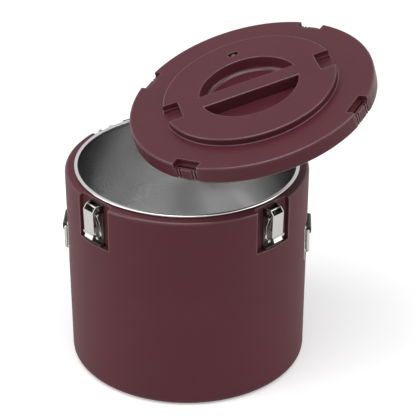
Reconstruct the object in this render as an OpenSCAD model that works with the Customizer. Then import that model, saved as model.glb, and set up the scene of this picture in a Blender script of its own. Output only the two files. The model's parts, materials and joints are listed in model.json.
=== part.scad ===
// Insulated soup carrier: a foam-filled moulded drum with a steel liner, a lift-off lid,
// four toggle latches and two side bails. Millimetres, +Z up, origin on the floor under the drum.

/* [Drum] */
// Outside diameter of the drum at its shoulder
drum_d = 400; // [360:1:460]
// Draft of the drum's wall, from the shoulder in to the base
drum_draft = 4; // [1:0.5:8]
// Height of the shoulder above the floor
shoulder_h = 343; // [320:1:420]
// Wall of the moulded drum
drum_wall = 4; // [3:0.5:5]
// Round of the shoulder's edge
shoulder_round = 6; // [3:0.5:8]
// Round of the base's edge
base_round = 12; // [6:1:18]
// Width of the ring that the drum stands on
foot_ring_w = 34; // [20:1:60]
// Diameter of the pad that it also stands on, in the middle of its base
foot_pad_d = 140; // [80:1:220]
// Depth of the hollow between the pad and the ring
base_hollow = 3; // [1:0.5:6]

/* [Liner] */
// Thickness of the steel sheet
liner_t = 1.2; // [0.8:0.1:2]
// Height of the liner's floor above the ground
liner_floor = 34; // [25:1:60]
// Round between the liner's wall and floor
liner_round = 18; // [8:1:30]
// Width of the rolled rim
rim_w = 6.2; // [5:0.1:8]
// Height of the rolled rim above the shoulder
rim_h = 5; // [4:0.1:8]
// Shoulder left between the rim and a latch recess
rim_land = 2.3; // [1.5:0.1:5]

/* [Lid] */
// Thickness of the lid's flange over the rim
flange_t = 20.5; // [14:0.5:22]
// Height of the raised disc over the flange
disc_h = 12; // [8:0.5:16]
// Diameter of the raised disc
disc_d = 284; // [260:1:300]
// Wall of the lid's mouldings
lid_wall = 3.5; // [2.5:0.5:4]
// Gap between the lid's skirt and the shoulder
skirt_gap = 1; // [0.5:0.1:2]
// Room between the rim and the inside of the skirt
skirt_room = 7; // [6:0.1:8]
// Depth of the lid's plug below the rim's top
plug_depth = 11.5; // [8:0.5:14]
// Slope of the plug's side, inwards for each step down
plug_slope = 0.86; // [0.8:0.01:1]
// Height of the sealing ring
gasket_h = 3.8; // [3:0.1:5]
// Depth of the ring's groove in the lid
gasket_sunk = 1.5; // [1:0.1:2]

/* [Finger pockets] */
// Diameter of the circle that holds both pockets
pocket_d = 162; // [140:1:180]
// Depth of the pockets below the raised disc
pocket_depth = 22; // [16:0.5:24]
// Width of the grip bar between the pockets
grip_w = 32; // [24:1:40]

/* [Notches and vent] */
// Width of the two notches at the sides of the disc
notch_w = 48; // [36:1:60]
// Distance of the notches' inner walls from the lid's axis
notch_r = 115; // [105:1:125]
// Height of the ledges in the notches
notch_ledge = 3.5; // [2:0.5:5]
// Distance of the vent from the lid's axis
vent_r = 105; // [98:1:115]
// Length of the vent's slot
vent_l = 18; // [14:0.5:22]
// Width of the vent's slot
vent_w = 10.4; // [10:0.1:12]
// Diameter of the vent's ball
vent_ball_d = 9; // [7:0.1:9.4]
// Bore of the vent through the lid
vent_bore = 4; // [3:0.1:5]

/* [Catches] */
// Length of a catch along the lid's edge
catch_l = 44; // [40:1:50]
// Drop of a catch's lip below the flange
lip_drop = 9; // [6:0.5:11]
// Thickness of the lip
lip_t = 5; // [4:0.5:7]
// Depth of the groove behind the lip
lip_groove = 4.5; // [3:0.5:6]
// Depth of the flat that a catch cuts into the skirt
catch_flat = 2; // [1:0.5:3]

/* [Latch recess] */
// Angle between the two front latches, in degrees
latch_spread = 93; // [86:1:100]
// Depth of a latch recess in the shoulder
recess_d = 13; // [12:0.5:16]
// Width of a latch recess
recess_w = 70; // [60:1:80]
// Height of a latch recess, up to the shoulder
recess_h = 75; // [70:1:90]

/* [Latches] */
// Thickness of the latch's sheet steel
latch_t = 1.5; // [1.2:0.1:1.8]
// Width of the lever
lever_w = 24; // [22:1:28]
// Height of the lever's front plate
lever_h = 40; // [38:0.5:46]
// Length of the lever's finger tab
tab_l = 9; // [6:0.5:10]
// Distance of the lever's pin below the shoulder
lever_pin_drop = 9; // [8:0.5:14]
// Distance of the claw's pin below the lever's pin
throw = 10; // [9:0.5:12]
// Diameter of the latch's pins
pin_d = 4; // [3:0.1:4.5]
// Thickness of the hook
hook_t = 1.8; // [1.4:0.1:2.2]
// Width of each prong's hook
prong_w = 5; // [4:0.1:5.4]
// Height of the hook's plate
hook_h = 12; // [10:0.5:13]
// Turn of a claw from the lid's lip to its rest behind the closed lever, in degrees
claw_tuck = 188; // [187:0.5:190]
// Width of the flange at the latch's foot
foot_w = 36; // [32:1:44]

/* [Handles] */
// Height of the handles' middle above the floor
handle_z = 218.5; // [150:0.5:240]
// Depth of the flat that a handle is set on
handle_flat = 6.2; // [5:0.1:8]
// Width of a handle's plate
plate_w = 78; // [70:1:80]
// Height of a handle's plate
plate_h = 65; // [60:1:90]
// Diameter of a bail's rod
bail_d = 6.5; // [5:0.1:7]
// Reach of a bail from its pivot to the middle of its grip
bail_reach = 40; // [36:1:44]
// Width of a handle's pivot block
block_w = 46; // [40:1:62]
// Height of a handle's pivot block
block_h = 14; // [13:0.5:20]

/* [Held lid] */
// Travel of the vent's ball from the closed lid to the lifted one
lid_travel = [73.4, -27.5, 123.0]; // [-150:0.1:150]
// Turn of the lifted lid, in degrees
lid_turn = 21.7; // [0:0.1:25]
// Axis of that turn, through the vent's ball
lid_turn_axis = [0.2982, -0.68, 0.6698]; // [-1:0.0001:1]

/* [Clearances] */
// Radial play of a running pin
pin_play = 0.05; // [0.02:0.01:0.1]
// Gap between parts that pass each other
pass_gap = 0.5; // [0.3:0.1:0.8]
// Gap between the closed lid and what it meets
close_gap = 0.4; // [0.3:0.1:0.6]

/* [Hidden] */
$fn = 96;
arc_steps = 6;
// Spare depth of a cut past the surface that it opens
past = 2;
// Reach of a side cut past the outside
far = 20;
drum_r = drum_d / 2;
base_r = drum_r - drum_draft;
sides = ["front_left", "front_right", "back_left", "back_right"];
latch_half = latch_spread / 2;
latch_angle = [-90 - latch_half, latch_half - 90, 90 + latch_half, 90 - latch_half];

// Rim and liner
recess_back = drum_r - recess_d;
rim_r = recess_back - rim_land;
liner_r = rim_r - rim_w;
mouth_r = liner_r + liner_t;
rim_z = shoulder_h + rim_h;
foot_in = base_r - base_round - foot_ring_w;
rim_edge_round = 0.45 * min(rim_w, rim_h);

// Lid, in the closed place
lid_r = drum_r;
skirt_z = shoulder_h + skirt_gap;
under_z = rim_z + gasket_h - gasket_sunk + 0.5 * close_gap;
flange_z = under_z + flange_t;
disc_z = flange_z + disc_h;
disc_r = disc_d / 2;
skirt_round = 1;
flange_round = 3.5;
disc_foot_round = 1.5;
disc_round = 3;
foam_round = 2;
plug_round = 4;
pan_round = 3;
gasket_round = 1;
skirt_in = rim_r + skirt_room;
// Set-back of the sealing ring from both edges of the rim
gasket_inset = 0.1;
gasket_in = liner_r + gasket_inset;
gasket_out = rim_r - gasket_inset;
// Room between the plug and the liner, where the plug is widest
plug_room = 1.6;
plug_top_r = gasket_in - plug_room;
plug_z = rim_z - plug_depth;
plug_r = plug_top_r - plug_slope * (under_z - plug_z);
pan_r = plug_top_r - 1.4 * lid_wall;
pan_floor_r = plug_r - 0.6 * lid_wall;
pocket_r = pocket_d / 2;
pocket_z = disc_z - pocket_depth;
// Widening of a finger pocket from its floor to its mouth
pocket_flare = 4;
pocket_floor_round = 8;
edge_round = 2;
notch_ledge_w = 4;
notch_corner = 3;
// Gap under the ball, over its seat
vent_seat_gap = 0.3;
vent_seat_d = vent_ball_d + 2 * pass_gap;
// Depth of the ball's top below the disc
vent_ball_sunk = 0.5;
vent_ball_z = disc_z - vent_ball_sunk - vent_ball_d / 2;
// Depth of the slot's floor below the ball's middle
vent_slot_drop = 1;
vent_slot_z = vent_ball_z - vent_slot_drop;
vent_boss_r = vent_seat_d / 2 + lid_wall;
// Sinking of the vent's boss into the floor of its slot
boss_sunk = 1;
vent_seat_z = vent_ball_z - vent_ball_d / 2 - vent_seat_gap;
vent_slot_round = 0.48 * vent_w;

// Catches, along the radius of one catch
lip_face = lid_r - catch_flat;
lip_back = lip_face - lip_t;
lip_z = flange_z - lip_drop;
groove_room = 3.2;
groove_back = lip_back - hook_t - groove_room;
groove_end = 2;
catch_step = 4;
pocket_back = groove_back - catch_step;
rib_start = 10;
rib_w = 3;
rib_depth = 3;

// Latch, along the radius of one latch
plate_face = recess_back + latch_t;
recess_z = shoulder_h - recess_h;
recess_round = 4;
// Chamfer of a recess's sides at the drum's face, where along the radius it starts, and the round there
mouth_chamfer = 1.6;
recess_flare = sqrt(pow(drum_r, 2) - pow(recess_w / 2, 2)) - mouth_chamfer;
flare_round = 5;
// Height of the latch's plate over the recess's floor
plate_lift = 2;
plate_low = recess_z + plate_lift;
boss_r = 5.5;
boss_round = 0.95 * boss_r;
// Gap between the lever's boss and the plate behind it
boss_gap = 1.5;
lever_pin = [plate_face + boss_r + boss_gap, shoulder_h - lever_pin_drop];
plate_top = lever_pin.y + boss_r + pass_gap;
// Play of the hook on the lip, on each side, and how far it goes past the closing gap
hook_slack = 0.2;
hook_play = close_gap + hook_slack;
hook_in = lip_face + hook_play;
hook_out = hook_in + hook_t;
hook_over = lip_z + close_gap;
hook_tip = lip_back - hook_play;
// Gap under the hook's tip in its groove
hook_tip_gap = 0.8;
hook_low = lip_z - lip_groove + hook_tip_gap;
hook_foot = hook_over + hook_t - hook_h;
claw_pin = [(hook_in + hook_out) / 2, lever_pin.y - throw];
// Reach of the lever's face past the drum
lever_proud = 7.5;
lever_face = drum_r + lever_proud;
lever_lean = 1.5;
// Drop of the lever's front plate below its pin
face_drop = 3;
lever_top = lever_pin.y - face_drop;
lever_low = lever_top - lever_h;
cheek_low = lever_low + hook_h;
tab_low = lever_low - tab_l;
tab_out = 2.5;
tab_half = 0.4 * lever_w;
cheek_round = 1;
cheek_y = lever_w / 2 - latch_t;
ear_y = lever_w / 2 + pass_gap;
arm_y = ear_y + latch_t + 2 * pass_gap;
claw_w = 2 * (arm_y + latch_t);
prong_y = arm_y + (latch_t - prong_w) / 2;
eye_r = 4;
// Width of a claw's arms, and how far they bow out
arm_w = 4.4;
arm_bow = 4;
arm_round = 30;
// Sinking of one sheet's end into another that it is one piece with
sunk = 0.3;
latch_plate_w = 2 * (ear_y + latch_t);
rivet_d = 3.2;
rivet_head_d = 6.4;
rivet_head_h = 1.4;
rivet_depth = 0.8 * drum_wall;
rivet_y = latch_plate_w / 2 - rivet_head_d - pass_gap;
rivet_heights = [plate_low + 1.4 * rivet_head_d, cheek_low + 1.2 * rivet_head_d];
pin_head_t = 0.6;
pin_head_r = 0.75 * pin_d;

// Handles, along the radius of one handle
flat_x = drum_r - handle_flat;
handle_face = flat_x + latch_t;
handle_low = handle_z - plate_h / 2;
handle_high = handle_z + plate_h / 2;
flat_margin = 3;
block_depth = 10.2;
block_drop = 8;
block_round = 4;
block_z = handle_high - block_drop - block_h / 2;
plate_round = 5;
// Distance of the bail's pivot from its plate
pivot_out = 4.2;
bail_pivot = [handle_face + pivot_out, block_z];
bail_y = block_w / 2 + pass_gap + bail_d / 2;
bail_bend = 10;
bail_stub = 14;
// Gap between a bail's end and the bottom of its bore
bail_end_gap = 0.5;
handle_rivet_y = 0.44 * plate_w;
low_rivet_up = 18;
high_rivet_down = 3.8;
handle_rivet_heights = [handle_low + low_rivet_up, handle_high - high_rivet_down];

maroon = [0.36, 0.17, 0.20];
steel = [0.78, 0.78, 0.77];
foam = [0.90, 0.84, 0.66];
black = [0.10, 0.10, 0.11];
silicone = [0.55, 0.56, 0.57];

// A corner of an outline, as points on its round
function unit(v) = v / norm(v);
function wrap(a) = a - 360 * round(a / 360);
function bend(a, p, b, r) = r <= 0 ? [p] :
    let (u = unit(a - p), v = unit(b - p), half = acos(u * v) / 2,
         c = p + unit(u + v) * r / sin(half),
         from = p + u * r / tan(half) - c, to = p + v * r / tan(half) - c,
         start = atan2(from.y, from.x), sweep = wrap(atan2(to.y, to.x) - start))
    [for (i = [0:arc_steps]) let (t = start + sweep * i / arc_steps) c + r * [cos(t), sin(t)]];

// An outline from corners [x, y, round]
function flat2(p) = [p.x, p.y];
function outline(pts) = let (n = len(pts))
    [for (i = [0:n - 1])
        each bend(flat2(pts[(i + n - 1) % n]), flat2(pts[i]), flat2(pts[(i + 1) % n]), pts[i].z)];

// A solid of revolution from corners [radius, height, round]
module turned(pts) { rotate_extrude() polygon(outline(pts)); }

// A plate across the radius, from corners [radius, height, round], between two sideways places
module across(pts, y0, y1) {
    translate([0, y1, 0]) rotate([90, 0, 0]) linear_extrude(y1 - y0) polygon(outline(pts));
}

// The same plate on both sides of the middle
module across_both(pts, y0, y1) {
    across(pts, y0, y1);
    across(pts, -y1, -y0);
}

// A prism from corners [x, y, round] between two heights
module upright(pts, z0, z1) {
    translate([0, 0, z0]) linear_extrude(z1 - z0) polygon(outline(pts));
}

// A round bar across the radius at [radius, height]
module cross_bar(at, r, y0, y1) {
    translate([at.x, y1, at.y]) rotate([90, 0, 0]) cylinder(r = r, h = y1 - y0);
}

// Corners of a box in a plate's own plane, all with one round
function slab(x0, x1, y0, y1, r) = [[x0, y0, r], [x1, y0, r], [x1, y1, r], [x0, y1, r]];

module at_latch(i) { rotate(latch_angle[i]) children(); }
module at_handle(right) { rotate(right ? 0 : 180) children(); }

// Turns its children about a cross pin at [radius, height], outwards for a positive angle
module swung(pin, angle) {
    translate([pin.x, 0, pin.y]) rotate([0, angle, 0]) translate([-pin.x, 0, -pin.y]) children();
}

// Carries the closed lid's parts to where they are held over the drum
module held_lid() {
    ball = [0, vent_r, vent_ball_z];
    translate(ball + lid_travel) rotate(a = lid_turn, v = lid_turn_axis) translate(-ball) children();
}

// Latch recesses, with a margin all round
module latch_recesses(grow) {
    for (i = [0:3]) at_latch(i)
        upright([[recess_back - grow, -recess_w / 2 - grow, recess_round],
                 [recess_flare, -recess_w / 2 - grow, flare_round],
                 [drum_r + far, -recess_w / 2 - grow - drum_r - far + recess_flare, 0],
                 [drum_r + far, recess_w / 2 + grow + drum_r + far - recess_flare, 0],
                 [recess_flare, recess_w / 2 + grow, flare_round],
                 [recess_back - grow, recess_w / 2 + grow, recess_round]],
                recess_z - grow, shoulder_h + far);
}

// Flats for the handles, with a margin all round
module handle_flats(grow) {
    for (right = [false, true]) at_handle(right)
        upright(slab(flat_x - grow, drum_r + far, -drum_r / 3, drum_r / 3, 0),
                handle_low - flat_margin - grow, handle_high + flat_margin + grow);
}

// The space inside the drum's moulding, open at the mouth
module drum_cavity() {
    difference() {
        turned([[0, base_hollow + drum_wall, 0],
                [base_r - drum_wall, base_hollow + drum_wall, base_round - drum_wall / 2],
                [drum_r - drum_wall, shoulder_h - drum_wall, foam_round],
                [mouth_r, shoulder_h - drum_wall, 0], [mouth_r, shoulder_h + past, 0],
                [0, shoulder_h + past, 0]]);
        latch_recesses(drum_wall);
        handle_flats(drum_wall);
    }
}

module rivet_bores() {
    for (i = [0:3]) at_latch(i) rivet_shanks(rivet_y, rivet_heights, recess_back);
    for (right = [false, true]) at_handle(right)
        rivet_shanks(handle_rivet_y, handle_rivet_heights, flat_x);
}

// Four shanks through a sheet and into the drum's wall behind it
module rivet_shanks(y, heights, back) {
    for (s = [-1, 1], z = heights)
        translate([back - rivet_depth, s * y, z]) rotate([0, 90, 0])
            cylinder(d = rivet_d, h = rivet_depth + latch_t);
}

module rivet_heads(y, heights, back) {
    for (s = [-1, 1], z = heights)
        translate([back + latch_t, s * y, z]) rotate([0, 90, 0])
            rotate_extrude() polygon(outline([[0, 0, 0], [rivet_head_d / 2, 0, 0],
                [rivet_head_d / 2, rivet_head_h, rivet_head_h], [0, rivet_head_h, 0]]));
}

module outer_shell() {
    color(maroon) difference() {
        turned([[0, 0, 0], [foot_pad_d / 2, 0, 0], [foot_pad_d / 2 + base_hollow, base_hollow, 0],
                [foot_in - base_hollow, base_hollow, 0], [foot_in, 0, 0],
                [base_r, 0, base_round], [drum_r, shoulder_h, shoulder_round], [0, shoulder_h, 0]]);
        latch_recesses(0);
        handle_flats(0);
        drum_cavity();
        rivet_bores();
    }
}

module wall_foam() {
    color(foam) difference() {
        drum_cavity();
        liner_block();
    }
}

// The liner with its inside filled, from its floor to above the shoulder
module liner_block() {
    turned([[0, liner_floor - liner_t, 0], [mouth_r, liner_floor - liner_t, liner_round + liner_t],
            [mouth_r, shoulder_h + 2 * past, 0], [0, shoulder_h + 2 * past, 0]]);
}

module steel_liner() {
    color(steel) turned([
        [0, liner_floor - liner_t, 0], [mouth_r, liner_floor - liner_t, liner_round + liner_t],
        [mouth_r, shoulder_h, 0], [rim_r, shoulder_h, rim_edge_round], [rim_r, rim_z, rim_edge_round],
        [liner_r, rim_z, rim_edge_round], [liner_r, liner_floor, liner_round], [0, liner_floor, 0]]);
}

// Finger pockets: a bowl on each side of the grip bar, with a margin all round
module finger_pockets(grow) {
    difference() {
        turned([[0, pocket_z - grow, 0],
                [pocket_r - pocket_flare + grow, pocket_z - grow, pocket_floor_round],
                [pocket_r + grow, disc_z, edge_round], [pocket_r + grow + 2 * edge_round, disc_z, 0],
                [pocket_r + grow + 2 * edge_round, disc_z + past, 0], [0, disc_z + past, 0]]);
        rotate(90) across(slab(-grip_w / 2 + grow, grip_w / 2 - grow,
                               pocket_z - 2 * lid_wall, disc_z, edge_round), -lid_r, lid_r);
    }
}

// Notches at the sides of the raised disc
module disc_notches(grow) {
    half = notch_w / 2 + grow;
    for (right = [false, true]) at_handle(right) difference() {
        upright([[notch_r - grow, -half, notch_corner], [disc_r + far, -half, 0],
                 [disc_r + far, half, 0], [notch_r - grow, half, notch_corner]],
                flange_z - grow, disc_z + past);
        for (s = [-1, 1])
            upright(slab(0, disc_r + far, s * (half - notch_ledge_w), s * (half + past), 0),
                    flange_z - lid_wall - past, flange_z - grow + notch_ledge);
    }
}

module vent_cut() {
    translate([0, vent_r, 0]) {
        upright(slab(-vent_l / 2, vent_l / 2, -vent_w / 2, vent_w / 2, vent_slot_round),
                vent_slot_z, disc_z + past);
        translate([0, 0, vent_seat_z]) cylinder(d = vent_seat_d, h = disc_z - vent_seat_z);
        translate([0, 0, plug_z - past]) cylinder(d = vent_bore, h = disc_z - plug_z);
    }
}

// The boss under the slot that carries the vent down to the pan
module vent_boss() {
    translate([0, vent_r, plug_z + lid_wall])
        cylinder(r = vent_boss_r, h = disc_z - plug_z - 1.3 * lid_wall);
    translate([0, vent_r, 0])
        upright(slab(-vent_l / 2 - lid_wall, vent_l / 2 + lid_wall, -vent_w / 2 - lid_wall,
                     vent_w / 2 + lid_wall, vent_slot_round), vent_slot_z - lid_wall, disc_z - lid_wall / 3);
}

// One catch, cut into the lid's edge
module catch_cut() {
    half = catch_l / 2;
    upright([[pocket_back, -half, edge_round], [lid_r + far, -half, 0],
             [lid_r + far, half, 0], [pocket_back, half, edge_round]],
            lip_z, flange_z + past);
    upright(slab(groove_back, lip_back, -half + groove_end, half - groove_end, 0),
            lip_z - lip_groove, lip_z + past);
    upright(slab(lip_face, lid_r + far, -lid_r / 3, lid_r / 3, 0), skirt_z - past, flange_z + past);
    for (s = [-1, 1], rib = [0, 1])
        upright(slab(lip_face - rib_depth, lid_r + far, s * (rib_start + 2 * rib * rib_w),
                     s * (rib_start + 2 * rib * rib_w + rib_w), 0), skirt_z - past, lip_z + past);
}

// The space inside the lid's upper moulding, open to the pan
module lid_cavity() {
    difference() {
        turned([[0, under_z, 0], [pan_r, under_z, 0], [pan_r, flange_z - lid_wall, foam_round],
                [disc_r - lid_wall, flange_z - lid_wall, 0],
                [disc_r - lid_wall, disc_z - lid_wall, foam_round],
                [0, disc_z - lid_wall, 0]]);
        finger_pockets(lid_wall);
        disc_notches(lid_wall);
        vent_boss();
    }
}

// The space inside the pan
module pan_cavity() {
    difference() {
        turned([[0, plug_z + lid_wall, 0], [pan_floor_r, plug_z + lid_wall, pan_round],
                [pan_r, under_z, 0], [0, under_z, 0]]);
        vent_boss();
    }
}

module lid_top() {
    color(maroon) held_lid() difference() {
        union() {
            difference() {
                turned([[0, under_z, 0], [skirt_in, under_z, skirt_round],
                        [skirt_in, skirt_z, 0.8 * skirt_round], [lid_r, skirt_z, skirt_round],
                        [lid_r, flange_z, flange_round], [disc_r, flange_z, disc_foot_round],
                        [disc_r, disc_z, disc_round], [0, disc_z, 0]]);
                lid_cavity();
                translate([0, 0, under_z - past]) difference() {
                    cylinder(r = gasket_out, h = past + gasket_sunk);
                    translate([0, 0, -past]) cylinder(r = gasket_in, h = 3 * past + gasket_sunk);
                }
                for (i = [0:3]) at_latch(i) catch_cut();
                finger_pockets(0);
                disc_notches(0);
            }
            translate([0, vent_r, plug_z + lid_wall])
                cylinder(r = vent_boss_r, h = vent_slot_z - plug_z - 2 * lid_wall + boss_sunk);
        }
        vent_cut();
    }
}

module lid_pan() {
    color(maroon) held_lid() difference() {
        turned([[0, plug_z, 0], [plug_r, plug_z, plug_round], [plug_top_r, under_z, 0], [0, under_z, 0]]);
        turned([[0, plug_z + lid_wall, 0], [pan_floor_r, plug_z + lid_wall, pan_round],
                [pan_r, under_z, 0], [pan_r, under_z + past, 0], [0, under_z + past, 0]]);
        vent_cut();
    }
}

module lid_foam() {
    color(foam) held_lid() union() {
        lid_cavity();
        pan_cavity();
    }
}

module lid_gasket() {
    low = under_z + gasket_sunk - gasket_h;
    color(silicone) held_lid() turned([[gasket_in, low, gasket_round], [gasket_out, low, gasket_round],
        [gasket_out, under_z + gasket_sunk, 0], [gasket_in, under_z + gasket_sunk, 0]]);
}

module vent_ball() {
    color(silicone) held_lid() translate([0, vent_r, vent_ball_z]) sphere(d = vent_ball_d);
}

// Bracket of a latch: a back plate with two ears for the lever's pin and a flange at its foot
module latch_plate(i) {
    color(steel) at_latch(i) difference() {
        union() {
            across(slab(recess_back, plate_face, plate_low, plate_top, 0),
                   -latch_plate_w / 2, latch_plate_w / 2);
            across(slab(recess_back, drum_r - latch_t, plate_low, plate_low + latch_t, 0.4 * latch_t),
                   -foot_w / 2, foot_w / 2);
            across_both([[recess_back, lever_pin.y - 1.6 * boss_r, 0],
                         [lever_pin.x + boss_r, lever_pin.y - boss_r, boss_round],
                         [lever_pin.x + boss_r, lever_pin.y + boss_r, boss_round],
                         [recess_back, lever_pin.y + boss_r, 0]], ear_y, ear_y + latch_t);
        }
        cross_bar(lever_pin, pin_d / 2, -claw_w, claw_w);
        rivet_shanks(rivet_y, rivet_heights, recess_back);
    }
}

// A pin across the radius, with a flat head at each end
module headed_pin(at, half) {
    cross_bar(at, pin_d / 2, -half, half);
    for (s = [-1, 1]) translate([0, s * half, 0])
        cross_bar(at, pin_head_r, -pin_head_t / 2, pin_head_t / 2);
}

module lever_pins() {
    color(steel) for (i = [0:3]) at_latch(i) headed_pin(lever_pin, ear_y + latch_t + pin_head_t / 2);
}

// Lever: a front plate between two cheeks, with a finger tab at its foot
module lever(i) {
    face_low = lever_face - lever_lean;
    bend_z = lever_low - 2 * latch_t;
    color(steel) at_latch(i) difference() {
        union() {
            across_both([[lever_pin.x - boss_r, claw_pin.y - boss_r, eye_r],
                         [lever_pin.x - boss_r, lever_pin.y + boss_r, boss_round],
                         [lever_pin.x + boss_r, lever_pin.y + boss_r, boss_round],
                         [lever_face, lever_top, cheek_round], [face_low, cheek_low, cheek_round],
                         [face_low - 2 * latch_t, cheek_low, cheek_round]], cheek_y, cheek_y + latch_t);
            across([[lever_face - latch_t, lever_top, sunk], [lever_face, lever_top, sunk],
                    [face_low, lever_low, sunk], [face_low - latch_t, lever_low, sunk]],
                   -lever_w / 2, lever_w / 2);
            across([[face_low - latch_t, lever_low + latch_t, 0], [face_low, lever_low + latch_t, 0],
                    [face_low, bend_z, latch_t], [face_low + tab_out, tab_low, sunk],
                    [face_low + tab_out - latch_t, tab_low - latch_t / 2, sunk],
                    [face_low - latch_t, bend_z, latch_t]], -tab_half, tab_half);
        }
        cross_bar(lever_pin, pin_d / 2 + pin_play, -claw_w, claw_w);
        cross_bar(claw_pin, pin_d / 2 + pin_play, -claw_w, claw_w);
    }
}

module claw_pin_of(i) {
    color(steel) at_latch(i) headed_pin(claw_pin, claw_w / 2 + pin_head_t / 2);
}

// Claw: two bowed prongs on one pin, each with a hook for the lid's lip, modelled hooked and swung to rest
module claw(i) {
    bow_z = (claw_pin.y + hook_foot) / 2;
    bow_out = hook_out + arm_bow;
    color(steel) at_latch(i) swung(claw_pin, claw_tuck) difference() {
        union() {
            across_both([[hook_in, hook_foot, sunk], [hook_out, hook_foot, sunk],
                         [hook_out, hook_over + hook_t, 1.3 * hook_t],
                         [hook_tip - hook_t, hook_over + hook_t, 0.9 * hook_t],
                         [hook_tip - hook_t, hook_low, sunk], [hook_tip, hook_low, sunk],
                         [hook_tip, hook_over, sunk], [hook_in, hook_over, sunk]],
                        prong_y, prong_y + prong_w);
            across_both([[claw_pin.x - eye_r, claw_pin.y - eye_r, 0.8 * eye_r],
                         [claw_pin.x + eye_r, claw_pin.y - eye_r, 0.8 * eye_r],
                         [bow_out, bow_z, arm_round], [hook_out - sunk, hook_foot + hook_t, 0],
                         [hook_in + sunk, hook_foot + hook_t, 0],
                         [bow_out - arm_w, bow_z, arm_round]], arm_y, arm_y + latch_t);
        }
        cross_bar(claw_pin, pin_d / 2, -claw_w, claw_w);
    }
}

module latch_rivets() {
    color(steel) for (i = [0:3]) at_latch(i) {
        rivet_shanks(rivet_y, rivet_heights, recess_back);
        rivet_heads(rivet_y, rivet_heights, recess_back);
    }
}

module handle_plate(right) {
    color(steel) at_handle(right) difference() {
        translate([flat_x, 0, 0]) rotate([90, 0, 90])
            upright(slab(-plate_w / 2, plate_w / 2, handle_low, handle_high, plate_round), 0, latch_t);
        rivet_shanks(handle_rivet_y, handle_rivet_heights, flat_x);
    }
}

module handle_block(right) {
    color(black) at_handle(right) difference() {
        across([[handle_face, block_z - block_h / 2, 0],
                [handle_face + block_depth, block_z - block_h / 2, block_round],
                [handle_face + block_depth, block_z + block_h / 2, block_round],
                [handle_face, block_z + block_h / 2, 0]], -block_w / 2, block_w / 2);
        for (s = [-1, 1]) translate([0, s * (block_w / 2 - bail_stub / 2), 0])
            cross_bar(bail_pivot, bail_d / 2 + pin_play,
                      -bail_stub / 2 - bail_end_gap, bail_stub / 2 + bail_end_gap);
    }
}

// Bail: one bent rod, with its ends turned into the block
module bail(right) {
    leg = bail_reach - bail_bend;
    color(steel) at_handle(right) translate([bail_pivot.x, 0, bail_pivot.y]) {
        for (s = [-1, 1]) translate([0, s * bail_y, 0]) {
            sphere(d = bail_d);
            rotate([90 * s, 0, 0]) cylinder(d = bail_d, h = bail_stub + pass_gap + bail_d / 2 - bail_end_gap);
            translate([0, 0, -leg]) cylinder(d = bail_d, h = leg);
            translate([0, -s * bail_bend, -leg]) rotate([90, 0, 90]) rotate(s > 0 ? -90 : 180)
                rotate_extrude(angle = 90) translate([bail_bend, 0]) circle(d = bail_d);
        }
        cross_bar([0, -bail_reach], bail_d / 2, bail_bend - bail_y, bail_y - bail_bend);
    }
}

module handle_rivets() {
    color(steel) for (right = [false, true]) at_handle(right) {
        rivet_shanks(handle_rivet_y, handle_rivet_heights, flat_x);
        rivet_heads(handle_rivet_y, handle_rivet_heights, flat_x);
    }
}

outer_shell();
wall_foam();
steel_liner();
lid_top();
lid_pan();
lid_foam();
lid_gasket();
vent_ball();
for (i = [0:3]) {
    latch_plate(i);
    lever(i);
    claw_pin_of(i);
    claw(i);
}
lever_pins();
latch_rivets();
handle_plate(false);  // handle_plate_left
handle_plate(true);  // handle_plate_right
handle_block(false);  // handle_block_left
handle_block(true);  // handle_block_right
bail(false);  // bail_left
bail(true);  // bail_right
handle_rivets();
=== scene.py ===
"""Insulated soup carrier: finishes, soft-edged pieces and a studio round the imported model."""
import json
from math import radians

import bpy
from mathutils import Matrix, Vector


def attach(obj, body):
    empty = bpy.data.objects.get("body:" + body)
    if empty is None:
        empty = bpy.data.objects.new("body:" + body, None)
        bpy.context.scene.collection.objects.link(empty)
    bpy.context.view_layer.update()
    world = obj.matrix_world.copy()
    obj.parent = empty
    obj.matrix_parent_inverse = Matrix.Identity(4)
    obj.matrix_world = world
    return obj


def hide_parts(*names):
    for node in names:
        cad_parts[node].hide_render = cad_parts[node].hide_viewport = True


bl_info = {
    "name": "Insulated soup carrier",
    "version": (1, 0, 0),
    "blender": (4, 5, 0),
    "location": "3D View > Sidebar > Carrier",
    "description": "Dresses the packed soup carrier and lights it",
    "category": "Object",
}

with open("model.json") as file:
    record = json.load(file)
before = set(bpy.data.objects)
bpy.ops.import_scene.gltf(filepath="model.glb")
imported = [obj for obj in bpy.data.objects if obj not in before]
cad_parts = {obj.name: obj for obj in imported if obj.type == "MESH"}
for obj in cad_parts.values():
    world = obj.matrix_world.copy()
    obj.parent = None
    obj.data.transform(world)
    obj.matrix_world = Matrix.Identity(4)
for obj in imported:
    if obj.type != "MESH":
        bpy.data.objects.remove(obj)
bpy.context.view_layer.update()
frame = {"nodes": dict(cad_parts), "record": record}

SIDES = ("front_left", "front_right", "back_left", "back_right")
HANDS = ("left", "right")

# Part of a noise texture's range that most of its values lie in
NOISE_LOW, NOISE_HIGH = 0.3, 0.7

# Cosine between the true and the softened normal where an edge starts to count, and where it counts fully
EDGE_START, EDGE_FULL = 0.998, 0.96

# Upward part of the normal on a rounded rim: where its polish starts, is full, starts to fade and ends
RIM_START, RIM_FULL = 0.35, 0.5
RIM_FADE, RIM_END = 0.9, 0.95

# Polish of the plastic's edges and rims, and how near to an edge it lies
EDGE_POLISH, RIM_POLISH = 0.75, 0.35
EDGE_REACH = 0.003

# Depths below the liner's rim between which its polish turns into the duller rim
DULL_START, DULL_FULL = 0.010, 0.007

# Soft copies: the distance within which points merge, the angles up to which faces are joined, from which
# edges are rounded and up to which they are shaded smooth, and the faces across a round
MERGE = 0.00012
FLAT_ANGLE = radians(0.6)
SHARP_ANGLE = radians(35)
SMOOTH_ANGLE = radians(38)
ROUND_STEPS = 3

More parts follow.
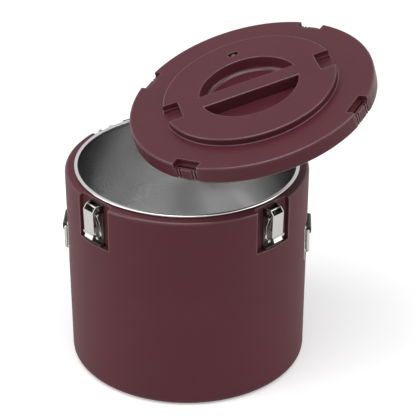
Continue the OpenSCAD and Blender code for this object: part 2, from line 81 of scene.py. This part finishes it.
# Studio: the floor's width and its two paper tones, the camera's sensor in millimetres, and the lamps, each
# with its name, place, aim, width and height, and watts
FLOOR_SIZE = 24
PAPER_DARK, PAPER_LIGHT = (0.85, 0.85, 0.85), (0.88, 0.88, 0.88)
SENSOR = 36
LAMPS = (
    ("top_box", (-0.2, -0.7, 2.6), (0, 0, 0.3), (2.4, 1.8), 38),
    ("left_panel", (-2.3, -0.6, 1.2), (0, 0, 0.25), (1.8, 2.2), 25),
    ("right_panel", (2.3, -0.5, 1.2), (0, 0, 0.25), (1.6, 2.2), 20),
)


class CarrierFinishes(bpy.types.PropertyGroup):
    """Colours and roughness of the carrier's materials"""
    maroon: bpy.props.FloatVectorProperty(
        name="Maroon", description="Colour of the moulded drum and lid", subtype="COLOR", size=3,
        default=(0.078, 0.0162, 0.0232), min=0, max=1)
    drum_roughness: bpy.props.FloatProperty(
        name="Drum roughness", description="Roughness of the satin drum", subtype="FACTOR",
        default=0.62, min=0, max=1)
    drum_gloss: bpy.props.FloatProperty(
        name="Drum gloss", description="Strength of the drum's reflections", subtype="FACTOR",
        default=0.22, min=0, max=1)
    lid_roughness: bpy.props.FloatProperty(
        name="Lid roughness", description="Roughness of the smoother lid", subtype="FACTOR",
        default=0.36, min=0, max=1)
    lid_gloss: bpy.props.FloatProperty(
        name="Lid gloss", description="Strength of the lid's reflections", subtype="FACTOR",
        default=0.15, min=0, max=1)
    grain: bpy.props.FloatProperty(
        name="Grain", description="Depth of the moulded grain", unit="LENGTH",
        default=0.00012, min=0, max=0.002)
    black: bpy.props.FloatVectorProperty(
        name="Black", description="Colour of the handles' blocks", subtype="COLOR", size=3,
        default=(0.012, 0.012, 0.013), min=0, max=1)
    block_roughness: bpy.props.FloatProperty(
        name="Block roughness", description="Roughness of the handles' blocks", subtype="FACTOR",
        default=0.45, min=0, max=1)
    block_gloss: bpy.props.FloatProperty(
        name="Block gloss", description="Strength of the blocks' reflections", subtype="FACTOR",
        default=0.18, min=0, max=1)
    liner: bpy.props.FloatVectorProperty(
        name="Liner", description="Colour of the liner's steel", subtype="COLOR", size=3,
        default=(0.76, 0.76, 0.76), min=0, max=1)
    rim: bpy.props.FloatVectorProperty(
        name="Liner rim", description="Colour of the liner's duller rolled rim", subtype="COLOR", size=3,
        default=(0.56, 0.56, 0.56), min=0, max=1)
    bright: bpy.props.FloatVectorProperty(
        name="Bright steel", description="Colour of the levers, claws, bails and rivets", subtype="COLOR",
        size=3, default=(0.46, 0.445, 0.43), min=0, max=1)
    bright_roughness: bpy.props.FloatProperty(
        name="Bright roughness", description="Roughness of the bright steel", subtype="FACTOR",
        default=0.22, min=0, max=1)
    # Plate steel: its near-black colour is painted shade, standing in for the shade and dark reflections in
    # the latch recesses behind the levers
    plate: bpy.props.FloatVectorProperty(
        name="Plate steel", description="Colour of the dull plates behind the levers", subtype="COLOR",
        size=3, default=(0.09, 0.082, 0.078), min=0, max=1)
    plate_roughness: bpy.props.FloatProperty(
        name="Plate roughness", description="Roughness of the dull plates", subtype="FACTOR",
        default=0.38, min=0, max=1)
    foam: bpy.props.FloatVectorProperty(
        name="Foam", description="Colour of the foam in the walls and the lid", subtype="COLOR", size=3,
        default=(0.76, 0.68, 0.42), min=0, max=1)
    gasket: bpy.props.FloatVectorProperty(
        name="Gasket", description="Colour of the lid's sealing ring", subtype="COLOR", size=3,
        default=(0.27, 0.275, 0.28), min=0, max=1)
    ball: bpy.props.FloatVectorProperty(
        name="Vent ball", description="Colour of the vent's ball", subtype="COLOR", size=3,
        default=(0.05, 0.05, 0.053), min=0, max=1)


class CarrierEdges(bpy.types.PropertyGroup):
    """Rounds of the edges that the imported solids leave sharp"""
    sheet: bpy.props.FloatProperty(
        name="Sheet steel", description="Round of the edges of the latches and plates", unit="LENGTH",
        default=0.00035, min=0.0001, max=0.0006)
    prong: bpy.props.FloatProperty(
        name="Claws", description="Round of the edges of the claws, which sit close in the lid's catches",
        unit="LENGTH", default=0.00014, min=0.00005, max=0.0002)
    block: bpy.props.FloatProperty(
        name="Handle blocks", description="Round of the edges of the handles' blocks", unit="LENGTH",
        default=0.0009, min=0.0002, max=0.002)


class CarrierStudio(bpy.types.PropertyGroup):
    """Camera and lights"""
    surround: bpy.props.FloatProperty(
        name="Surround", description="Light from the white surround", default=0.45, min=0, max=1)
    floor_glow: bpy.props.FloatProperty(
        name="Floor glow", description="White added to the floor where it is seen",
        default=0.32, min=0, max=1)
    lens: bpy.props.FloatProperty(
        name="Lens", description="Focal length of the camera", unit="CAMERA", default=170.4, min=20, max=400)
    camera_at: bpy.props.FloatVectorProperty(
        name="Camera", description="Place of the camera", subtype="TRANSLATION", size=3,
        default=(0.1346, -2.8538, 1.832))
    pitch: bpy.props.FloatProperty(
        name="Pitch", description="Angle of the view below the horizon", subtype="ANGLE",
        default=radians(28.81))
    yaw: bpy.props.FloatProperty(
        name="Yaw", description="Turn of the view to the right", subtype="ANGLE", default=radians(-2.014))


def deselect():
    """Leaves nothing selected, in object mode."""
    if bpy.context.object and bpy.context.object.mode != "OBJECT":
        bpy.ops.object.mode_set(mode="OBJECT")
    bpy.ops.object.select_all(action="DESELECT")


class Finish:
    """One procedural material, built from a Principled shader and textures on Object coordinates."""

    def __init__(self, name, color, metallic=0.0, roughness=0.5):
        self.material = bpy.data.materials.new(name)
        self.material.use_nodes = True
        self.tree = self.material.node_tree
        self.shader = self.tree.nodes["Principled BSDF"]
        self.put("Base Color", (*color, 1))
        self.put("Metallic", metallic)
        self.put("Roughness", roughness)
        self.coords = self.add("ShaderNodeTexCoord")
        self.place = self.coords.outputs["Object"]

    def put(self, name, value):
        """Sets one of the shader's own sockets."""
        self.shader.inputs[name].default_value = value

    def into(self, name, out):
        """Links an output to one of the shader's sockets."""
        self.link(out, self.shader.inputs[name])

    def link(self, out, into):
        self.tree.links.new(out, into)

    def add(self, kind, **values):
        """A new node; values set its properties."""
        node = self.tree.nodes.new(kind)
        for key, value in values.items():
            setattr(node, key, value)
        return node

    def math(self, operation, a, b):
        """One Math node; a and b are numbers or outputs."""
        node = self.add("ShaderNodeMath", operation=operation)
        for socket, value in zip(node.inputs, (a, b)):
            if isinstance(value, bpy.types.NodeSocket):
                self.link(value, socket)
            else:
                socket.default_value = value
        return node.outputs[0]

    def split(self, vector):
        """X, Y and Z of a vector, as outputs by name."""
        node = self.add("ShaderNodeSeparateXYZ")
        self.link(vector, node.inputs[0])
        return node.outputs

    def stretched(self, scale):
        """Object coordinates multiplied along each axis."""
        node = self.add("ShaderNodeMapping")
        node.inputs["Scale"].default_value = scale
        self.link(self.place, node.inputs["Vector"])
        return node.outputs[0]

    def turned(self, along, across):
        """Coordinates for marks that run round the Z axis, slow along them and fast across."""
        axes = self.split(self.place)
        flat = self.add("ShaderNodeCombineXYZ")
        self.link(axes["X"], flat.inputs["X"])
        self.link(axes["Y"], flat.inputs["Y"])
        radius = self.add("ShaderNodeVectorMath", operation="LENGTH")
        self.link(flat.outputs[0], radius.inputs[0])
        round_axis = self.add("ShaderNodeVectorMath", operation="NORMALIZE")
        self.link(flat.outputs[0], round_axis.inputs[0])
        slow = self.add("ShaderNodeVectorMath", operation="SCALE")
        slow.inputs["Scale"].default_value = along
        self.link(round_axis.outputs[0], slow.inputs[0])
        fast = self.add("ShaderNodeCombineXYZ")
        out_and_up = self.math("ADD", axes["Z"], radius.outputs["Value"])
        self.link(self.math("MULTIPLY", out_and_up, across), fast.inputs["Z"])
        both = self.add("ShaderNodeVectorMath", operation="ADD")
        self.link(slow.outputs[0], both.inputs[0])
        self.link(fast.outputs[0], both.inputs[1])
        return both.outputs[0]

    def noise(self, vector, scale, detail=3.0, rough=0.5):
        node = self.add("ShaderNodeTexNoise")
        node.inputs["Scale"].default_value = scale
        node.inputs["Detail"].default_value = detail
        node.inputs["Roughness"].default_value = rough
        self.link(vector, node.inputs["Vector"])
        return node.outputs["Fac"]

    def ramp(self, value, low, high, a=0.0, b=1.0):
        """Maps value from low..high to a..b, clamped."""
        node = self.add("ShaderNodeMapRange")
        for name, number in (("From Min", low), ("From Max", high), ("To Min", a), ("To Max", b)):
            node.inputs[name].default_value = number
        self.link(value, node.inputs["Value"])
        return node.outputs["Result"]

    def spread(self, noise, a=0.0, b=1.0):
        """Maps the usual range of a noise to a..b."""
        return self.ramp(noise, NOISE_LOW, NOISE_HIGH, a, b)

    def tint(self, value, dark, light):
        """A colour between dark and light by value, into the shader's colour; dark may be an earlier one."""
        node = self.add("ShaderNodeMix", data_type="RGBA")
        ends = [s for s in node.inputs if s.type == "RGBA"]
        if isinstance(dark, bpy.types.NodeSocket):
            self.link(dark, ends[0])
        else:
            ends[0].default_value = (*dark, 1)
        ends[1].default_value = (*light, 1)
        self.link(value, node.inputs["Factor"])
        out = next(s for s in node.outputs if s.type == "RGBA")
        self.into("Base Color", out)
        return out

    def soften(self, radius):
        """Rounds the look of sharp edges by radius."""
        node = self.add("ShaderNodeBevel", samples=6)
        node.inputs["Radius"].default_value = radius
        return node.outputs[0]

    def edges(self, radius):
        """0 on open faces, 1 where the surface turns within radius."""
        dot = self.add("ShaderNodeVectorMath", operation="DOT_PRODUCT")
        self.link(self.soften(radius), dot.inputs[0])
        self.link(self.add("ShaderNodeNewGeometry").outputs["Normal"], dot.inputs[1])
        return self.ramp(dot.outputs["Value"], EDGE_START, EDGE_FULL)

    def rims(self):
        """1 on a rounded rim, whose faces lean between upright and level, and 0 on the rest."""
        lean = self.split(self.coords.outputs["Normal"])["Z"]
        return self.math("MULTIPLY", self.ramp(lean, RIM_START, RIM_FULL), self.ramp(lean, RIM_END, RIM_FADE))

    def bump(self, height, depth, strength, normal=None):
        node = self.add("ShaderNodeBump")
        node.inputs["Strength"].default_value = strength
        node.inputs["Distance"].default_value = depth
        self.link(height, node.inputs["Height"])
        if normal is not None:
            self.link(normal, node.inputs["Normal"])
        return node.outputs[0]


def scaled(color, factor):
    return tuple(min(1.0, c * factor) for c in color)


def moulded_plastic(name, color, roughness, gloss, grain):
    """Moulded plastic: a fine grain, faint clouding, thin rubbed scuffs and a polish on edges and rims."""
    f = Finish(name, color, roughness=roughness)
    f.put("Specular IOR Level", gloss)
    cloud = f.noise(f.place, scale=9.0, detail=4.0, rough=0.55)
    rubs = f.noise(f.stretched((60.0, 60.0, 9.0)), scale=2.2, detail=6.0, rough=0.7)
    scuff = f.ramp(rubs, low=0.66, high=0.78)
    f.tint(f.spread(cloud), scaled(color, 0.92), scaled(color, 1.09))
    f.into("Roughness", f.math("ADD", f.spread(cloud, roughness - 0.03, roughness + 0.03),
                               f.math("MULTIPLY", scuff, 0.05)))
    f.into("Coat Weight", f.math("MAXIMUM", f.math("MULTIPLY", f.edges(EDGE_REACH), EDGE_POLISH),
                                 f.math("MULTIPLY", f.rims(), RIM_POLISH)))
    f.put("Coat Roughness", 0.2)
    f.put("Coat IOR", 1.8)
    waves = f.noise(f.place, scale=70.0, detail=2.0)
    wavy = f.bump(waves, depth=0.0003, strength=0.25, normal=f.soften(0.002))
    specks = f.noise(f.place, scale=1100.0, detail=2.0, rough=0.6)
    f.into("Normal", f.bump(specks, depth=grain, strength=0.6, normal=wavy))
    return f.material


def turned_steel(name, color, rim_color, rim_z):
    """Sheet steel polished on a lathe: fine rings, a streaked gloss, faint water marks and a duller rim."""
    f = Finish(name, color, metallic=1.0)
    f.put("Anisotropic", 0.85)
    f.into("Tangent", f.add("ShaderNodeTangent", direction_type="RADIAL", axis="Z").outputs[0])
    rings = f.noise(f.turned(along=0.8, across=1500.0), scale=1.0, detail=3.0, rough=0.6)
    bands = f.noise(f.turned(along=1.6, across=26.0), scale=1.0, detail=4.0, rough=0.6)
    marks = f.noise(f.place, scale=16.0, detail=5.0, rough=0.6)
    polished = f.tint(f.ramp(marks, low=0.35, high=0.75), scaled(color, 0.96), scaled(color, 1.04))
    f.tint(f.ramp(f.split(f.place)["Z"], rim_z - DULL_START, rim_z - DULL_FULL), polished, rim_color)
    f.into("Roughness", f.math("ADD", f.spread(bands, 0.18, 0.2), f.spread(rings, -0.01, 0.01)))
    f.into("Normal", f.bump(rings, depth=0.00001, strength=0.2, normal=f.soften(0.0006)))
    return f.material


def pressed_steel(name, color, roughness):
    """Pressed steel: rounded edges, rolling lines and fingerprints."""
    f = Finish(name, color, metallic=1.0, roughness=roughness)
    lines = f.noise(f.stretched((1400.0, 1400.0, 40.0)), scale=1.0, detail=2.0)
    smudge = f.noise(f.place, scale=85.0, detail=5.0, rough=0.65)
    f.tint(f.spread(smudge), scaled(color, 0.93), scaled(color, 1.04))
    f.into("Roughness", f.math("ADD", f.ramp(smudge, 0.4, 0.7, roughness - 0.04, roughness + 0.08),
                               f.spread(lines, -0.02, 0.02)))
    f.into("Normal", f.bump(lines, depth=0.00002, strength=0.4, normal=f.soften(0.0007)))
    return f.material


def cast_foam(name, color):
    """Poured foam: closed cells under a patchy skin."""
    f = Finish(name, color, roughness=0.9)
    cells = f.add("ShaderNodeTexVoronoi", feature="SMOOTH_F1")
    cells.inputs["Scale"].default_value = 420.0
    f.link(f.place, cells.inputs["Vector"])
    f.tint(f.noise(f.place, scale=22.0, detail=5.0), scaled(color, 0.82), scaled(color, 1.05))
    f.into("Normal", f.bump(cells.outputs["Distance"], depth=0.0006, strength=0.7))
    return f.material


def silicone_rubber(name, color):
    """Silicone: a soft bloom and a faint grain."""
    f = Finish(name, color)
    bloom = f.noise(f.place, scale=60.0, detail=4.0)
    f.tint(bloom, scaled(color, 0.88), scaled(color, 1.1))
    f.into("Roughness", f.spread(bloom, 0.46, 0.66))
    specks = f.noise(f.place, scale=900.0, detail=2.0)
    f.into("Normal", f.bump(specks, depth=0.00008, strength=0.5, normal=f.soften(0.0005)))
    return f.material


def soft_copy(node, name, width):
    """A merged copy of a CAD node with its sharp edges rounded over, which stands for the node."""
    deselect()
    mesh = frame["nodes"][node].data.copy()
    piece = bpy.data.objects.new(name, mesh)
    bpy.context.collection.objects.link(piece)
    bpy.context.view_layer.objects.active = piece
    piece.select_set(True)
    bpy.ops.object.mode_set(mode="EDIT")
    bpy.ops.mesh.select_all(action="SELECT")
    bpy.ops.mesh.remove_doubles(threshold=MERGE)
    bpy.ops.mesh.dissolve_limited(angle_limit=FLAT_ANGLE)
    bpy.ops.object.mode_set(mode="OBJECT")
    bpy.ops.object.modifier_add(type="BEVEL")
    bevel = piece.modifiers[-1]
    bevel.width = width
    bevel.segments = ROUND_STEPS
    bevel.limit_method = "ANGLE"
    bevel.angle_limit = SHARP_ANGLE
    bevel.use_clamp_overlap = False
    bpy.ops.object.modifier_apply(modifier=bevel.name)
    bpy.ops.object.shade_smooth_by_angle(angle=SMOOTH_ANGLE)
    bpy.ops.object.modifier_add(type="WEIGHTED_NORMAL")
    flats = piece.modifiers[-1]
    flats.keep_sharp = True
    bpy.ops.object.modifier_apply(modifier=flats.name)
    bodies = frame["record"]["behaviour"]["bodies"]
    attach(piece, next(body for body, nodes in bodies.items() if node in nodes))
    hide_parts(node)


def dress(material, *nodes):
    """Gives CAD nodes a material."""
    for name in nodes:
        mesh = frame["nodes"][name].data
        mesh.materials.clear()
        mesh.materials.append(material)


class CARRIER_OT_finishes(bpy.types.Operator):
    """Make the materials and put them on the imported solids"""
    bl_idname = "carrier.finishes"
    bl_label = "Finishes"

    def execute(self, context):
        look = context.scene.carrier_finishes
        grain = look.grain
        dress(moulded_plastic("drum_moulding", look.maroon, look.drum_roughness, look.drum_gloss, grain),
              "outer_shell")
        dress(moulded_plastic("lid_moulding", look.maroon, look.lid_roughness, look.lid_gloss, grain),
              "lid_top", "lid_pan")
        dress(moulded_plastic("black_moulding", look.black, look.block_roughness, look.block_gloss, grain),
              *("handle_block_" + h for h in HANDS))
        rim_z = max(v.co.z for v in frame["nodes"]["steel_liner"].data.vertices)
        dress(turned_steel("liner_steel", look.liner, look.rim, rim_z), "steel_liner")
        dress(pressed_steel("bright_steel", look.bright, look.bright_roughness),
              "lever_pins", "latch_rivets", "handle_rivets",
              *(kind + s for kind in ("lever_", "claw_pin_", "claw_") for s in SIDES),
              *(kind + h for kind in ("handle_plate_", "bail_") for h in HANDS))
        # The latch plates get near-black steel: painted shade of the recesses
        dress(pressed_steel("shaded_plate_steel", look.plate, look.plate_roughness),
              *("latch_plate_" + s for s in SIDES))
        dress(cast_foam("cream_foam", look.foam), "wall_foam", "lid_foam")
        dress(silicone_rubber("grey_silicone", look.gasket), "lid_gasket")
        dress(silicone_rubber("dark_silicone", look.ball), "vent_ball")
        return {"FINISHED"}


class CARRIER_OT_latches(bpy.types.Operator):
    """Round over the edges of the latches' sheet steel"""
    bl_idname = "carrier.latches"
    bl_label = "Latches"

    def execute(self, context):
        edges = context.scene.carrier_edges
        for side in SIDES:
            soft_copy("latch_plate_" + side, "bracket_" + side, edges.sheet)
            soft_copy("lever_" + side, "toggle_" + side, edges.sheet)
            soft_copy("claw_" + side, "prongs_" + side, edges.prong)
        return {"FINISHED"}


class CARRIER_OT_handles(bpy.types.Operator):
    """Round over the edges of the handles' plates and blocks"""
    bl_idname = "carrier.handles"
    bl_label = "Handles"

    def execute(self, context):
        edges = context.scene.carrier_edges
        for hand in HANDS:
            soft_copy("handle_plate_" + hand, "grip_plate_" + hand, edges.sheet)
            soft_copy("handle_block_" + hand, "grip_block_" + hand, edges.block)
        return {"FINISHED"}


def area_light(name, place, aim, size, watts):
    """A soft rectangular lamp that faces a point."""
    deselect()
    bpy.ops.object.light_add(type="AREA", location=place)
    lamp = bpy.context.object
    lamp.name = name
    lamp.data.shape = "RECTANGLE"
    lamp.data.size, lamp.data.size_y = size
    lamp.data.energy = watts
    lamp.rotation_euler = (Vector(aim) - Vector(place)).to_track_quat("-Z", "Y").to_euler()


def seen_level(tree, unseen, seen):
    """A strength for what the camera, or a gloss or glass, sees, and another for what lights the object."""
    rays = tree.nodes.new("ShaderNodeLightPath")
    either = tree.nodes.new("ShaderNodeMath")
    either.operation = "MAXIMUM"
    tree.links.new(rays.outputs["Is Glossy Ray"], either.inputs[0])
    tree.links.new(rays.outputs["Is Transmission Ray"], either.inputs[1])
    any_ray = tree.nodes.new("ShaderNodeMath")
    any_ray.operation = "MAXIMUM"
    tree.links.new(either.outputs[0], any_ray.inputs[0])
    tree.links.new(rays.outputs["Is Camera Ray"], any_ray.inputs[1])
    level = tree.nodes.new("ShaderNodeMapRange")
    level.inputs["To Min"].default_value = unseen
    level.inputs["To Max"].default_value = seen
    tree.links.new(any_ray.outputs[0], level.inputs["Value"])
    return level.outputs["Result"]


class CARRIER_OT_stage(bpy.types.Operator):
    """Add the pale floor, the soft lamps, the white surround and the camera"""
    bl_idname = "carrier.stage"
    bl_label = "Stage"

    def execute(self, context):
        studio = context.scene.carrier_studio
        deselect()
        bpy.ops.mesh.primitive_plane_add(size=FLOOR_SIZE)
        floor = context.object
        floor.name = "studio_floor"
        paper = Finish("studio_paper", PAPER_LIGHT, roughness=0.9)
        paper.tint(paper.noise(paper.place, scale=3.0), PAPER_DARK, PAPER_LIGHT)
        paper.put("Emission Color", (1, 1, 1, 1))
        paper.into("Emission Strength", seen_level(paper.tree, 0.0, studio.floor_glow))
        floor.data.materials.append(paper.material)
        for lamp in LAMPS:
            area_light(*lamp)
        world = context.scene.world or bpy.data.worlds.new("studio")
        context.scene.world = world
        world.use_nodes = True
        tree = world.node_tree
        back = tree.nodes["Background"]
        back.inputs["Color"].default_value = (1, 1, 1, 1)
        tree.links.new(seen_level(tree, studio.surround, 1.0), back.inputs["Strength"])
        deselect()
        bpy.ops.object.camera_add(location=studio.camera_at,
                                  rotation=(radians(90) - studio.pitch, 0, -studio.yaw))
        camera = context.object
        camera.name = "studio_camera"
        camera.data.lens = studio.lens
        camera.data.sensor_width = SENSOR
        context.scene.camera = camera
        context.scene.view_settings.view_transform = "Standard"
        return {"FINISHED"}


class CARRIER_PT_panel(bpy.types.Panel):
    """Steps that dress the carrier"""
    bl_idname = "CARRIER_PT_panel"
    bl_label = "Soup carrier"
    bl_space_type = "VIEW_3D"
    bl_region_type = "UI"
    bl_category = "Carrier"

    def draw(self, context):
        scene = context.scene
        for group in (scene.carrier_finishes, scene.carrier_edges, scene.carrier_studio):
            for key in group.bl_rna.properties.keys():
                if key not in ("rna_type", "name"):
                    self.layout.prop(group, key)
        for step in STEPS:
            self.layout.operator(step.bl_idname)


STEPS = (CARRIER_OT_finishes, CARRIER_OT_latches, CARRIER_OT_handles, CARRIER_OT_stage)
CLASSES = (CarrierFinishes, CarrierEdges, CarrierStudio, *STEPS, CARRIER_PT_panel)


def register():
    for cls in CLASSES:
        bpy.utils.register_class(cls)
    bpy.types.Scene.carrier_finishes = bpy.props.PointerProperty(type=CarrierFinishes)
    bpy.types.Scene.carrier_edges = bpy.props.PointerProperty(type=CarrierEdges)
    bpy.types.Scene.carrier_studio = bpy.props.PointerProperty(type=CarrierStudio)


def unregister():
    del bpy.types.Scene.carrier_finishes
    del bpy.types.Scene.carrier_edges
    del bpy.types.Scene.carrier_studio
    for cls in reversed(CLASSES):
        bpy.utils.unregister_class(cls)


def main():
    register()
    bpy.ops.carrier.finishes()
    bpy.ops.carrier.latches()
    bpy.ops.carrier.handles()
    bpy.ops.carrier.stage()


if __name__ == "__main__":
    main()
